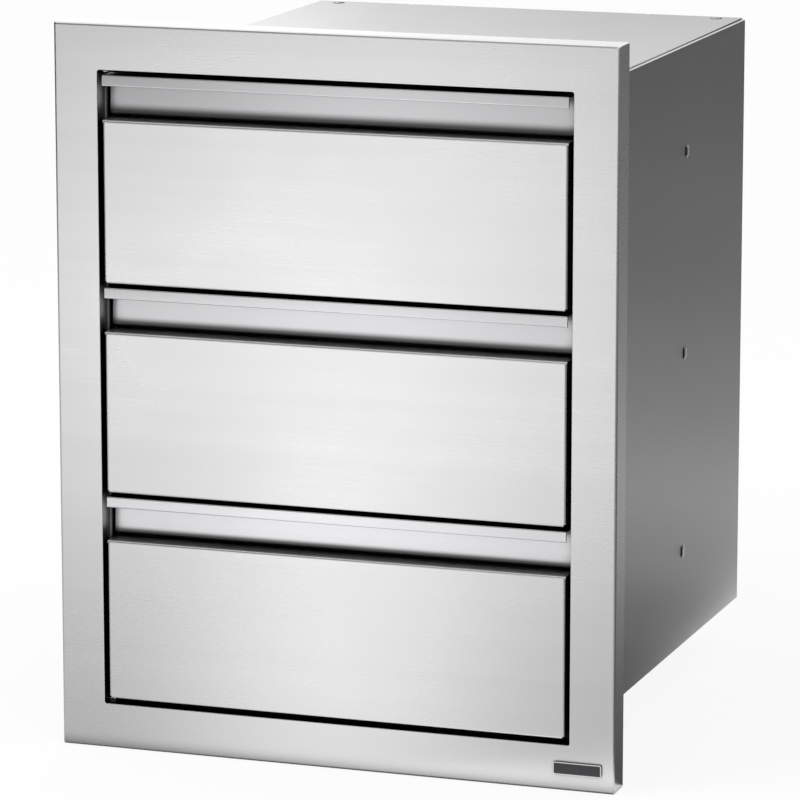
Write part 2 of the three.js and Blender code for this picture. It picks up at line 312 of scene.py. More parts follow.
def new_material(name):
    material = bpy.data.materials.new(name)
    material.use_nodes = True
    tree = material.node_tree
    return material, tree, tree.nodes["Principled BSDF"]


def wire(tree, *links):
    for source, target in links:
        tree.links.new(source, target)


def node(tree, kind, values=None, **settings):
    """A new node. The values are the constants of its sockets, by name or number."""
    made = tree.nodes.new(kind)
    for key, value in settings.items():
        setattr(made, key, value)
    for socket, value in (values or {}).items():
        made.inputs[socket].default_value = value
    return made


def smooth_step(tree, low, high=1.0):
    """A node whose result rises softly from 0 to 1 while its value goes from low to high."""
    return node(tree, "ShaderNodeMapRange", {"From Min": low, "From Max": high},
                interpolation_type="SMOOTHSTEP")


print("helpers:", [made.__name__ for made in (new_group, new_material, wire, node, smooth_step)])

# %% [markdown]
# Brushed lines are long and very thin. An image could show them, but a noise texture whose space
# is squeezed across the lines does the same at any size. A fine noise makes the single lines and a
# broad one the streaks, and their sum is the height that bends the normal.

# %% Brushed grain
FINE_DETAIL = 3.0
FINE_ROUGHNESS = 0.6
BROAD_DETAIL = 4.0
BROAD_ROUGHNESS = 0.5
STREAK_SHARE = 0.35


def stretched_noise(group, vector, stretch, detail, roughness):
    squeeze = node(group, "ShaderNodeVectorMath", operation="MULTIPLY")
    noise = node(group, "ShaderNodeTexNoise",
                 {"Scale": 1.0, "Detail": detail, "Roughness": roughness})
    wire(group,
         (vector, squeeze.inputs[0]), (stretch, squeeze.inputs[1]),
         (squeeze.outputs["Vector"], noise.inputs["Vector"]))
    return noise.outputs["Fac"]


def make_grain_group():
    group, start, end = new_group("Brushed grain", ("Vector", "Stretch", "Broad stretch"), (),
                                  ("Line", "Streak", "Height"))
    place = start.outputs["Vector"]
    line = stretched_noise(group, place, start.outputs["Stretch"], FINE_DETAIL, FINE_ROUGHNESS)
    streak = stretched_noise(group, place, start.outputs["Broad stretch"], BROAD_DETAIL,
                             BROAD_ROUGHNESS)
    height = node(group, "ShaderNodeMath", {1: STREAK_SHARE}, operation="MULTIPLY_ADD")
    wire(group,
         (streak, height.inputs[0]), (line, height.inputs[2]),
         (line, end.inputs["Line"]), (streak, end.inputs["Streak"]),
         (height.outputs[0], end.inputs["Height"]))
    return group


grain_group = make_grain_group()
print("group:", grain_group.name)

# %% [markdown]
# Where a sheet was rolled, wiped and touched, its gloss varies in broad soft patches. A noise with
# a little distortion, pushed apart by a smooth step, gives such patches without any pattern.

# %% Handling clouds
CLOUD_DETAIL = 3.0
CLOUD_DISTORTION = 0.4
CLOUD_FROM = 0.35
CLOUD_TO = 0.7


def make_cloud_group():
    group, start, end = new_group("Handling clouds", ("Vector",), ("Scale",), ("Mask",))
    noise = node(group, "ShaderNodeTexNoise",
                 {"Detail": CLOUD_DETAIL, "Distortion": CLOUD_DISTORTION})
    spread = smooth_step(group, CLOUD_FROM, CLOUD_TO)
    wire(group,
         (start.outputs["Vector"], noise.inputs["Vector"]),
         (start.outputs["Scale"], noise.inputs["Scale"]),
         (noise.outputs["Fac"], spread.inputs["Value"]),
         (spread.outputs["Result"], end.inputs["Mask"]))
    return group


cloud_group = make_cloud_group()
print("group:", cloud_group.name)

# %% [markdown]
# Light hardly gets into a gap between two folded edges, so the colour there is painted darker: this
# is painted shade. The Ambient Occlusion node measures how close other metal is, so one mask serves
# every gap and keeps doing so when a drawer moves. The mask falls where other surfaces are close,
# and the painted shade darkens the colour there.

# %% Painted gap shade
GAP_SHADE_SAMPLES = 6
GAP_SHADE_FROM = 0.25
GAP_SHADE_TO = 0.9


def make_gap_shade_group():
    group, start, end = new_group("Painted gap shade", (), ("Distance",), ("Mask",))
    # Occlusion becomes the mask of painted shade in the gaps.
    near = node(group, "ShaderNodeAmbientOcclusion", samples=GAP_SHADE_SAMPLES)
    spread = smooth_step(group, GAP_SHADE_FROM, GAP_SHADE_TO)
    wire(group,
         (start.outputs["Distance"], near.inputs["Distance"]),
         (near.outputs["AO"], spread.inputs["Value"]),
         (spread.outputs["Result"], end.inputs["Mask"]))
    return group


gap_shade_group = make_gap_shade_group()
print("group:", gap_shade_group.name)

# %% [markdown]
# The foot of each finger channel's wall lies deep behind the panel in front of it, and its colour
# is painted dark there as painted shade. The painted gap shade alone is too weak there, so the
# channels' finish has one more mask of painted shade. It follows the height above each foot, which
# doesn't change when a drawer slides, and it reaches a little higher on the upper drawers, as in the
# photograph.

# %% Painted shade at the foot of the channels
CHANNEL_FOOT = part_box("bottom_finger_channel")[0].z
DRAWER_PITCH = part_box("centre_finger_channel")[0].z - CHANNEL_FOOT
FOOT_DARK = 1.9 * MM
BOTTOM_FOOT_CLEAR = 6.4 * MM
TOP_FOOT_CLEAR = 9.8 * MM


def foot_painted_shade(tree, place, mask):
    """Lowers a mask towards the foot of each channel, which paints shade there."""
    split = node(tree, "ShaderNodeSeparateXYZ")
    rise = node(tree, "ShaderNodeMath", {1: CHANNEL_FOOT}, operation="SUBTRACT")
    above_foot = node(tree, "ShaderNodeMath", {1: DRAWER_PITCH}, operation="FLOORED_MODULO")
    reach = node(tree, "ShaderNodeMapRange",
                 {"From Max": DRAWER_PITCH * (len(DRAWERS) - 1), "To Min": BOTTOM_FOOT_CLEAR,
                  "To Max": TOP_FOOT_CLEAR})
    fade = smooth_step(tree, FOOT_DARK)
    lowered = node(tree, "ShaderNodeMath", operation="MULTIPLY")
    wire(tree,
         (place, split.inputs["Vector"]), (split.outputs["Z"], rise.inputs[0]),
         (rise.outputs[0], above_foot.inputs[0]), (above_foot.outputs[0], fade.inputs["Value"]),
         (rise.outputs[0], reach.inputs["Value"]), (reach.outputs["Result"], fade.inputs["From Max"]),
         (fade.outputs["Result"], lowered.inputs[0]), (mask, lowered.inputs[1]))
    return lowered.outputs[0]


print("drawer pitch", round(DRAWER_PITCH / MM, 1), "mm")

# %% [markdown]
# One function makes every bare metal. The grain moves the colour and the roughness a little, as
# brushed steel does, and bends the normal across the lines. On the brushed pieces the Anisotropic
# value also stretches each reflection across the lines. Painted gap shade takes the colour down in
# gaps. The base colours are the metal's own, a little under white, but those of the finger channels
# and of the casing's inner side are also painted darker as shade.

# %% Bare metals
GRAIN_ALONG = {"x": ((8.0, 700.0, 700.0), (1.2, 55.0, 55.0)),
               "y": ((700.0, 8.0, 700.0), (55.0, 1.2, 55.0))}
GRAIN_DEPTH = 0.02 * MM
ACROSS_GRAIN = 0.25
CLOUD_SCALE = 7.0
CLOUD_SHARE = 0.6
CLOUD_MATT = 3


def scaled(colour, factor):
    return (*[min(c * factor, 1.0) for c in colour], 1.0)


def metal(name, colour, roughness, along, contrast=0.04, cloud=0.05, bump=0.12, stretch=0.0,
          shade_reach=16.0 * MM, shaded_share=0.05, foot_shade=None):
    material, tree, shader = new_material(name)
    material["grain"] = along
    shader.inputs["Metallic"].default_value = 1.0
    shader.inputs["Anisotropic"].default_value = stretch
    shader.inputs["Anisotropic Rotation"].default_value = ACROSS_GRAIN
    if stretch:
        lines = node(tree, "ShaderNodeTangent", direction_type="UV_MAP", uv_map="grain")
        wire(tree, (lines.outputs["Tangent"], shader.inputs["Tangent"]))
    place = node(tree, "ShaderNodeTexCoord").outputs["Object"]
    fine, broad = GRAIN_ALONG[along]
    grain = node(tree, "ShaderNodeGroup", {"Stretch": fine, "Broad stretch": broad},
                 node_tree=grain_group)
    clouds = node(tree, "ShaderNodeGroup", {"Scale": CLOUD_SCALE}, node_tree=cloud_group)
    # Painted gap shade: where other metal is close, the colour is mixed down to a small share of itself.
    gap_shade_node = node(tree, "ShaderNodeGroup", {"Distance": shade_reach}, node_tree=gap_shade_group)
    clear = gap_shade_node.outputs["Mask"]
    if foot_shade:
        clear = foot_shade(tree, place, clear)
    tone = node(tree, "ShaderNodeMix",
                {"A": scaled(colour, 1 - contrast), "B": scaled(colour, 1 + contrast)},
                data_type="RGBA")
    shaded_colour = node(tree, "ShaderNodeMix", {"A": scaled(colour, shaded_share)}, data_type="RGBA")
    both = node(tree, "ShaderNodeMath", {1: CLOUD_SHARE}, operation="MULTIPLY_ADD")
    matt = node(tree, "ShaderNodeMapRange",
                {"To Min": roughness * (1 - cloud), "To Max": roughness * (1 + CLOUD_MATT * cloud)})
    relief = node(tree, "ShaderNodeBump", {"Strength": bump, "Distance": GRAIN_DEPTH})
    wire(tree,
         (place, grain.inputs["Vector"]), (place, clouds.inputs["Vector"]),
         (grain.outputs["Streak"], tone.inputs["Factor"]),
         (tone.outputs["Result"], shaded_colour.inputs["B"]), (clear, shaded_colour.inputs["Factor"]),
         (shaded_colour.outputs["Result"], shader.inputs["Base Color"]),
         (clouds.outputs["Mask"], both.inputs[0]), (grain.outputs["Line"], both.inputs[2]),
         (both.outputs[0], matt.inputs["Value"]),
         (matt.outputs["Result"], shader.inputs["Roughness"]),
         (grain.outputs["Height"], relief.inputs["Height"]),
         (relief.outputs["Normal"], shader.inputs["Normal"]))
    return material


print("one cloud is about", round(1000 / CLOUD_SCALE), "mm across")

# %% [markdown]
# The fronts and the face frame are brushed along their width, and the finger channels are brushed
# the same way in a darker colour, which is painted shade for their recess. The casing is duller mill
# sheet with its rolling lines along the depth, and its inner side is duller still, with a darker
# colour and a far-reaching gap shade that are painted shade inside the casing. Slides are bright
# zinc, cages pressed steel, and the balls are polished.

# %% The unit's own metals
front_steel = metal("front_steel", (0.84, 0.84, 0.85), 0.26, "x", cloud=0.04, stretch=0.6,
                    shade_reach=8.0 * MM)
# The channels' colour is darker than the fronts' as painted shade for the recess, with painted shade at
# the foot too.
painted_shade_channel_steel = metal("painted_shade_channel_steel", (0.76, 0.76, 0.775), 0.20, "x", cloud=0.04, stretch=0.6,
                      shaded_share=0.1, foot_shade=foot_painted_shade)
frame_steel = metal("frame_steel", (0.82, 0.82, 0.83), 0.26, "x", cloud=0.04, stretch=0.5)
casing_steel = metal("casing_steel", (0.60, 0.60, 0.612), 0.24, "y", contrast=0.02, cloud=0.04,
                     bump=0.02, shade_reach=5.0 * MM)
# The inner side is rougher; its darker colour and 40 mm gap reach are painted shade inside the casing.
painted_shade_lining_steel = metal("painted_shade_lining_steel", (0.52, 0.52, 0.53), 0.32, "y", contrast=0.02, cloud=0.04,
                     bump=0.02, shade_reach=40.0 * MM)
box_steel = metal("box_steel", (0.60, 0.60, 0.62), 0.32, "x", contrast=0.03, cloud=0.06, bump=0.04)
zinc = metal("bright_zinc", (0.60, 0.62, 0.65), 0.30, "y", contrast=0.03, cloud=0.1, bump=0.04)
cage_metal = metal("cage_metal", (0.42, 0.43, 0.45), 0.40, "y", contrast=0.05, cloud=0.1, bump=0.04)
ball_steel = metal("ball_steel", (0.72, 0.72, 0.73), 0.12, "y", contrast=0.01, cloud=0.02, bump=0.02)
print("metals:", [m.name for m in bpy.data.materials if m.name.endswith(("steel", "zinc", "metal"))])

# %% [markdown]
# The face frame is a picture frame folded from one sheet. Its section runs from the rear edge of
# the outer return, round a fold, across the face, round a second fold and back along the opening.
# Each point of that section is carried round the frame as a rectangle with round corners, and the
# rectangles are laced together like a loft.

# %% Face frame
FRAME_SHEET = 1.2 * MM
OUTER_FOLD = 2.4 * MM
INNER_FOLD = 0.5 * MM
OUTER_CORNER = 1.6 * MM
OPENING_CORNER = 1.6 * MM
LEAST_CORNER = 1.0 * MM
FRAME_CORNER_STEPS = 6
BORDER = 38.1 * MM
INNER_RETURN = 14.0 * MM
frame_low, frame_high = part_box("face_frame")


def rounded_loop(low, high, inset, radius, depth, steps=5):
    """A rectangle with round corners, inset from the outline of a box, at a depth."""
    left, right = low.x + inset, high.x - inset
    foot, head = low.z + inset, high.z - inset
    corners = [(right - radius, foot + radius, -90), (right - radius, head - radius, 0),
               (left + radius, head - radius, 90), (left + radius, foot + radius, 180)]
    loop = []
    for x, z, start in corners:
        for k in range(steps + 1):
            turn = math.radians(start + 90 * k / steps)
            loop.append((x + radius * math.cos(turn), depth, z + radius * math.sin(turn)))
    return loop


def frame_corner(inset):
    """The corner's radius at an inset: small round the outside, and concentric round the opening."""
    if inset < BORDER / 4:
        return max(OUTER_CORNER - inset, LEAST_CORNER)
    return OPENING_CORNER + (BORDER - inset)


def build_face_frame():
    face, middle = frame_low.y, BORDER / 2
    section = folded([(0.0, frame_high.y), (0.0, face), (middle, face)], OUTER_FOLD)
    section += folded([(middle, face), (BORDER, face), (BORDER, face + INNER_RETURN)], INNER_FOLD)[1:]
    rows = [rounded_loop(frame_low, frame_high, inset, frame_corner(inset), depth, FRAME_CORNER_STEPS)
            for inset, depth in section]
    sheet = Sheet().patch(rows, closed=True)
    return sheet_object("face_frame_sheet", sheet, FRAME_SHEET, (0, -1, 0), "casing", ["face_frame"],
                        frame_steel)


face_frame = build_face_frame()
print("face frame:", len(face_frame.data.polygons), "quads")

# %% [markdown]
# A drawer's front panel is a shallow pan. The folds at its sides and foot start a little below the
# top one, so the top flange runs the full width, and its fold shows as a pale strip that is wider
# than the flat face. Each fold is a patch of its own, welded to the face along one line.

# %% Front panels
FRONT_SHEET = 1.0 * MM
PANEL_FOLD = 2.1 * MM
SLIT = 0.25 * MM


def build_front_panel(drawer):
    low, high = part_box(f"{drawer}_front_panel")
    flat_left, flat_right = low.x + PANEL_FOLD, high.x - PANEL_FOLD
    foot, head = low.z + PANEL_FOLD, high.z - PANEL_FOLD
    slit = head - SLIT
    sheet = Sheet()
    sheet.patch([[(x, low.y, z) for x in (flat_left, flat_right)] for z in (foot, slit, head)])
    over = folded([(low.y, slit), (low.y, high.z), (high.y, high.z)], PANEL_FOLD)[1:]
    sheet.patch(swept(over, "x", (low.x, flat_left, flat_right, high.x)))
    under = folded([(low.y, foot + SLIT), (low.y, low.z), (high.y, low.z)], PANEL_FOLD)[1:]
    sheet.patch(swept(under, "x", (flat_left, flat_right)))
    for edge, flat in ((low.x, flat_left), (high.x, flat_right)):
        side = folded([((low.x + high.x) / 2, low.y), (edge, low.y), (edge, high.y)], PANEL_FOLD)[1:]
        side[0] = (flat, low.y)
        sheet.patch(swept(side, "z", (foot, slit)))
    return sheet_object(f"{drawer}_front_panel_sheet", sheet, FRONT_SHEET, (0, -1, 0),
                        f"{drawer}_drawer", [f"{drawer}_front_panel"], front_steel)


front_panels = [build_front_panel(drawer) for drawer in DRAWERS]
print("front panels:", [p.name for p in front_panels])

# %% [markdown]
# The finger channel above each panel is one long folded strip. Its back wall leans a little, rises
# to a ceiling and comes down again in front as a lip for the fingertips. The lip is hemmed: the
# sheet is folded back on itself, so that its edge is round. The foot of the wall curls away to the
# rear. Its ends are open, so a single swept line makes it all. The sheet is a hair thinner than
# half the hem's width, so that the hem's two layers never touch.

# %% Finger channels
CHANNEL_SHEET = FRONT_SHEET * 0.95
CHANNEL_FOLD = 0.98 * MM
CHANNEL_CURL = 1.5 * MM
CHANNEL_LEAN = math.radians(3.0)
LIP_HEIGHT = 9.0 * MM
LIP_HEM_RISE = 7.0 * MM


def build_channel(drawer):
    low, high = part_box(f"{drawer}_finger_channel")
    lip_foot = high.z - LIP_HEIGHT
    wall_lean = math.tan(CHANNEL_LEAN) * (high.z - low.z)
    lip_lean = math.tan(CHANNEL_LEAN) * LIP_HEIGHT
    hem_y = low.y + 2 * FRONT_SHEET
    line = [(high.y, low.z), (high.y - wall_lean, low.z), (high.y, high.z),
            (low.y + lip_lean, high.z), (low.y, lip_foot), (hem_y, lip_foot),
            (hem_y + lip_lean, lip_foot + LIP_HEM_RISE)]
    radii = [CHANNEL_CURL, CHANNEL_FOLD, CHANNEL_FOLD, CHANNEL_SHEET, CHANNEL_SHEET]
    sheet = Sheet().patch(swept(folded(line, radii), "x", (low.x, (low.x + high.x) / 2, high.x)))
    return sheet_object(f"{drawer}_finger_channel_sheet", sheet, CHANNEL_SHEET, (0, 1, 0),
                        f"{drawer}_drawer", [f"{drawer}_finger_channel"],
                        painted_shade_channel_steel)


channels = [build_channel(drawer) for drawer in DRAWERS]
print("finger channels:", len(channels))

# %% [markdown]
# The casing is four folded sheets and a back. On each side three half bridges are pushed out of the
# wall to locate the slides, open towards the front. They are drawn into the wall's own grid: the
# points of a small field are lifted, most at its open edge, and the cells in front are left out.

# %% Half bridges in the casing's sides
LANCE_RISE = 1.3 * MM
LANCE_SLOT = 1.5 * MM
LANCE_LENGTH = 10.0 * MM
LANCE_HALF = 5.25 * MM
LANCE_MARGIN = 0.6 * MM
LANCE_FROM_SLIDE_FRONT = 306.9 * MM
LANCE_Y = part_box("top_left_fixed_rail")[0].y + LANCE_FROM_SLIDE_FRONT
LANCE_SHOULDER_SHARE = 0.35
LANCE_RAMP_SHARE = 0.75
LANCE_CELLS_ALONG = 8
LANCE_CELLS_UP = 6


def slide_level(drawer):
    low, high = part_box(f"{drawer}_left_fixed_rail")
    return (low.z + high.z) / 2


def eased(share):
    share = min(max(share, 0.0), 1.0)
    return share * share * (3 - 2 * share)


def lance_lift(y, z):
    """How far the wall is pushed out at a point."""
    lift = 0.0
    for drawer in DRAWERS:
        away = abs(z - slide_level(drawer)) / LANCE_HALF
        along = (y - LANCE_Y) / LANCE_LENGTH
        if away < 1.0 and 0.0 <= along < 1.0:
            shoulder = eased((1.0 - away) / LANCE_SHOULDER_SHARE)
            lift = LANCE_RISE * shoulder * eased((1.0 - along) / LANCE_RAMP_SHARE)
    return lift


def lance_marks():
    """The grid lines that the half bridges need, along the casing and up it."""
    along = [LANCE_Y + LANCE_LENGTH * k / LANCE_CELLS_ALONG for k in range(LANCE_CELLS_ALONG + 1)]
    along += [LANCE_Y - LANCE_SLOT - LANCE_MARGIN, LANCE_Y + LANCE_LENGTH + LANCE_MARGIN]
    up = []
    for level in map(slide_level, DRAWERS):
        cells = range(-LANCE_CELLS_UP, LANCE_CELLS_UP + 1)
        up += [level + LANCE_HALF * k / LANCE_CELLS_UP for k in cells]
        up += [level + k * (LANCE_HALF + LANCE_MARGIN) for k in (-1, 1)]
    return along, up


print("lances at y =", round(LANCE_Y / MM, 1), "mm")

# %% [markdown]
# Each casing side is one sheet with flanges at its front, top and foot. The grid of the wall also
# sets the stops along which the flanges are swept, so all of them weld to the wall without gaps.
# The seam flanges begin behind the frame's seat, where the cut-out would begin too.

# %% Casing sides
CASING_SHEET = 1.0 * MM
SEAT_GAP = 0.3 * MM
CASING_FOLD = 1.6 * MM
FLANGE_FOLD = 0.8 * MM
SIDE_FLANGE = 13.0 * MM
SEAM_FLANGE = 12.0 * MM


def build_casing_side(name, side):
    low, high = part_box(name)
    wall = (high.x if side > 0 else -low.x) - SIDE_FLANGE
    flange_rear = low.y + CASING_SHEET
    front, rear = flange_rear + FLANGE_FOLD, high.y
    foot, head = low.z + CASING_FOLD, high.z - CASING_FOLD
    along, up = lance_marks()
    slots = [(LANCE_Y - LANCE_SLOT, LANCE_Y, level - LANCE_HALF, level + LANCE_HALF)
             for level in map(slide_level, DRAWERS)]
    sheet = Sheet()
    ys, zs = flat_patch(sheet, lambda y, z: (side * (wall + lance_lift(y, z)), y, z),
                        [front, 0.0, rear, *along], [low.z, foot, head, high.z, *up],
                        windows=[*slots, (0.0, rear, low.z, foot), (0.0, rear, head, high.z)])
    turn = folded([(wall + SIDE_FLANGE, flange_rear), (wall, flange_rear),
                   (wall, front + CASING_FOLD)], FLANGE_FOLD)[:-1]
    sheet.patch(swept([(side * x, y) for x, y in turn], "z", zs))
    for edge in (high.z, low.z):
        seam = folded([(wall, (foot + head) / 2), (wall, edge), (wall - SEAM_FLANGE, edge)],
                      CASING_FOLD)[1:]
        sheet.patch(swept([(side * x, z) for x, z in seam], "y", [y for y in ys if y >= 0.0]))
    return sheet_object(f"{name}_sheet", sheet, CASING_SHEET, (side, 0, 0), "casing", [name],
                        casing_steel, painted_shade_lining_steel)


casing_sides = [build_casing_side(f"casing_{name}_side", side) for name, side in SIDES]
print("casing sides:", [p.name for p in casing_sides])

# %% [markdown]
# The top and bottom sheets lie between the sides' seam flanges, and their front edges turn away
# from the opening, behind the face frame. In front of the seams they are wider, so that no light
# shows at the corners. The top has two holes and two bend reliefs at its rear edge. The back
# closes the casing between the sides.

# %% Casing top, bottom and back
CASING_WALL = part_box("casing_right_side")[1].x - SIDE_FLANGE
SHEET_INSET = 2.9 * MM
TOP_HOLE = 6.0 * MM
TOP_HOLE_FIELD = 8.0 * MM
TOP_HOLE_FROM_MIDDLE = 178.0 * MM
TOP_HOLE_FROM_REAR = 12.0 * MM
RELIEF_FROM_MIDDLE = 112.0 * MM
RELIEF_HALF = 2.0 * MM
RELIEF_LENGTH = 3.0 * MM


def top_openings(rear):
    """The windows and holes of the casing's top."""
    reliefs = [(side * RELIEF_FROM_MIDDLE - RELIEF_HALF, side * RELIEF_FROM_MIDDLE + RELIEF_HALF,
                rear - RELIEF_LENGTH, rear) for _, side in SIDES]
    holes = [(side * TOP_HOLE_FROM_MIDDLE, rear - TOP_HOLE_FROM_REAR, TOP_HOLE, TOP_HOLE_FIELD)
             for _, side in SIDES]
    return reliefs, holes


def build_casing_across(name, up):
    low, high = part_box(name)
    flange_rear, rear = low.y + CASING_SHEET, high.y
    level = low.z + CASING_SHEET if up > 0 else high.z - CASING_SHEET
    edge = high.z if up > 0 else low.z
    windows, holes = top_openings(rear) if up > 0 else ([], [])
    half = CASING_WALL - SHEET_INSET
    wide = CASING_WALL - CASING_SHEET - SEAT_GAP
    windows += [(-wide, -half, 0.0, rear), (half, wide, 0.0, rear)]
    sheet = Sheet()
    xs, _ = flat_patch(sheet, lambda x, y: (x, y, level), [-wide, -half, half, wide],
                       [flange_rear + FLANGE_FOLD, 0.0, rear], windows, holes)
    turn = folded([(flange_rear, edge), (flange_rear, level), (rear, level)], FLANGE_FOLD)[:-1]
    sheet.patch(swept(turn, "x", xs))
    ear_levels = (edge, turn[1][1], level - up * CASING_SHEET)
    for ear in ((low.x, -wide), (wide, high.x)):
        flat_patch(sheet, lambda x, z: (x, flange_rear, z), ear, (min(ear_levels), max(ear_levels)))
    return sheet_object(f"{name}_sheet", sheet, CASING_SHEET, (0, 0, up), "casing", [name],
                        casing_steel, painted_shade_lining_steel, SOFT_BEVEL)


def build_back():
    low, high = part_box("casing_back")
    clear = CASING_SHEET + SEAT_GAP
    tab = CASING_WALL - SEAM_FLANGE - SEAT_GAP
    half = folded([(0.0, high.y), (high.x, high.y), (high.x, low.y)], CASING_FOLD)[1:]
    right = [(0.0, high.y), (tab, high.y), *half]
    plan = [(-x, y) for x, y in reversed(right)] + right[1:]
    web = [q for q in plan if abs(q[0]) <= tab and q[1] == high.y]
    sheet = Sheet().patch(swept(plan, "z", [low.z + clear, high.z / 2, high.z - clear]))
    sheet.patch(swept(web, "z", [high.z - clear, high.z]))
    sheet.patch(swept(web, "z", [low.z, low.z + clear]))
    return sheet_object("casing_back_sheet", sheet, CASING_SHEET, (0, 1, 0), "casing",
                        ["casing_back"], casing_steel, painted_shade_lining_steel)


casing_sheets = [build_casing_across("casing_top", 1), build_casing_across("casing_bottom", -1),
                 build_back()]
print("casing sheets:", [p.name for p in casing_sheets])

# %% [markdown]
# Behind each front come the liner, which closes the hollow pan, and the box: a tray folded from one
# sheet with its top edges turned in and down on themselves, and a back set between the sides. A
# closed hem is what makes a steel drawer's edge safe to touch, so it gets a real half-round fold.

# %% Liners and drawer boxes
BOX_SHEET = 1.0 * MM
BOX_FOLD = 2.0 * MM
TRAY_SHEET = BOX_SHEET * 0.98
TRAY_HEM_FOLD = BOX_SHEET * 0.999
TRAY_HEM_DROP = 12.0 * MM
WINDOW_MARGIN = 0.6 * MM
WINDOW_BELOW = 2.0 * MM
WINDOW_ABOVE = 5.0 * MM


def build_liner(drawer):
    low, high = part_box(f"{drawer}_front_liner")
    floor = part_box(f"{drawer}_front_panel")[1].z
    window = (low.x + WINDOW_MARGIN, high.x - WINDOW_MARGIN, floor - WINDOW_BELOW, floor + WINDOW_ABOVE)
    sheet = Sheet()
    flat_patch(sheet, lambda x, z: (x, high.y, z), [low.x, high.x], [low.z, high.z], [window])
    return sheet_object(f"{drawer}_front_liner_sheet", sheet, BOX_SHEET, (0, 1, 0),
                        f"{drawer}_drawer", [f"{drawer}_front_liner"], box_steel)


def build_tray(drawer):
    low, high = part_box(f"{drawer}_box_tray")
    hem_x, middle = high.x - 2 * BOX_SHEET, (low.z + high.z) / 2
    wall = folded([(0.0, low.z), (high.x, low.z), (high.x, middle)], BOX_FOLD)
    hem = folded([(high.x, middle), (high.x, high.z), (hem_x, high.z),
                  (hem_x, high.z - TRAY_HEM_DROP)], TRAY_HEM_FOLD)
    half = wall + hem[1:]
    section = [(-x, z) for x, z in reversed(half)] + half[1:]
    sheet = Sheet().patch(swept(section, "y", (low.y, (low.y + high.y) / 2, high.y)))
    return sheet_object(f"{drawer}_box_tray_sheet", sheet, TRAY_SHEET, (0, 0, -1),
                        f"{drawer}_drawer", [f"{drawer}_box_tray"], box_steel)


def build_box_back(drawer):
    low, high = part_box(f"{drawer}_box_back")
    section = folded([(low.x, high.y), (low.x, low.y), (high.x, low.y), (high.x, high.y)], BOX_FOLD)
    sheet = Sheet().patch(swept(section, "z", (low.z, (low.z + high.z) / 2, high.z)))
    return sheet_object(f"{drawer}_box_back_sheet", sheet, BOX_SHEET, (0, -1, 0),
                        f"{drawer}_drawer", [f"{drawer}_box_back"], box_steel)


boxes = [build(drawer) for drawer in DRAWERS for build in (build_liner, build_tray, build_box_back)]
print("box pieces:", len(boxes))

# %% [markdown]
# A telescopic slide is three rolled channels that run on balls. Each rail and each ball cage is one
# section swept along the slide, and their places come from the plain solids' own corners: the web
# is on one side of the box and the lips on the other. The webs have the punched holes of real rails.

# %% Slide rails and ball cages
HOLE_FIELD = 4.2 * MM
HOLE_SHARES = (0.06, 0.3, 0.62, 0.94)
CAGE_SHEET = 0.6 * MM
RAIL = {"thickness": 1.2 * MM, "fold": 2.4 * MM, "hole": 2.6 * MM, "slot": "slide_zinc",
        "material": zinc}
CAGE = {"thickness": CAGE_SHEET, "fold": 1.8 * MM, "hole": 3.2 * MM, "slot": "cage_steel",
        "material": cage_metal}
SLIDE_PARTS = (("fixed_rail", RAIL, True, "casing"), ("carrier_rail", RAIL, True, "{}_carriers"),
               ("drawer_rail", RAIL, False, "{}_drawer"),
               ("outer_cage", CAGE, True, "{}_outer_cages"), ("inner_cage", CAGE, True, "{}_inner_cages"))


def build_slide_part(name, side, kind, web_outside, body):
    """A rolled channel. web_outside says whether its web is the side next to the casing."""
    low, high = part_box(name)
    near, far = (high.x, low.x) if side > 0 else (low.x, high.x)
    web, lip = (near, far) if web_outside else (far, near)
    middle, fold = (low.z + high.z) / 2, kind["fold"]
    holes = [(low.y + (high.y - low.y) * share, middle, kind["hole"], HOLE_FIELD)
             for share in HOLE_SHARES]
    sheet = Sheet()
    ys, _ = flat_patch(sheet, lambda y, z: (web, y, z), [low.y, high.y],
                       [low.z + fold, high.z - fold], holes=holes)
    for edge in (high.z, low.z):
        turn = folded([(web, middle), (web, edge), (lip, edge)], fold)[1:]
        sheet.patch(swept(turn, "y", ys))
    outside = (math.copysign(1.0, web - lip), 0, 0)
    return sheet_object(f"{name}_section", sheet, kind["thickness"], outside, body, [name],
                        kind["material"])


slides = [build_slide_part(f"{drawer}_{name}_{part}", side, kind, web_outside, body.format(drawer))
          for drawer in DRAWERS for name, side in SIDES
          for part, kind, web_outside, body in SLIDE_PARTS]
print("slide sections:", len(slides))

# %% [markdown]
# Round things are turned: a half outline of radius and height is carried round an axis. The Screw
# modifier does it too, but only round one axis per object. Here the bodies of one kind that ride
# together are one mesh, as the balls in a cage are.

# %% Balls in the cages
BALL_RADIUS = 1.5 * MM
BALL_PITCH = 10.0 * MM
BALL_STEPS = 12
BALL_RINGS = 8


def turned_object(name, places, outline, axis, body, material, steps):
    """Turned bodies at many places. The outline is (radius, height) pairs from pole to pole."""
    spin = Vector(axis).to_track_quat("Z", "Y")
    shell = bmesh.new()
    for place in places:
        rings = []
        for radius, height in outline:
            ring = circle_points(0.0, 0.0, radius, steps) if radius else [(0.0, 0.0)]
            rings.append([shell.verts.new(Vector(place) + spin @ Vector((a, b, height)))
                          for a, b in ring])
        for low, high in zip(rings, rings[1:]):
            for k in range(steps):
                n = (k + 1) % steps
                corners = [low[k % len(low)], low[n % len(low)], high[n % len(high)], high[k % len(high)]]
                shell.faces.new(list(dict.fromkeys(corners)))
    bmesh.ops.recalc_face_normals(shell, faces=shell.faces)
    return as_object(name, mesh_from(name, shell), body, [], material)


def ball_outline():
    turns = [math.pi * k / BALL_RINGS for k in range(1, BALL_RINGS)]
    between = [(BALL_RADIUS * math.sin(t), -BALL_RADIUS * math.cos(t)) for t in turns]
    return [(0.0, -BALL_RADIUS), *between, (0.0, BALL_RADIUS)]


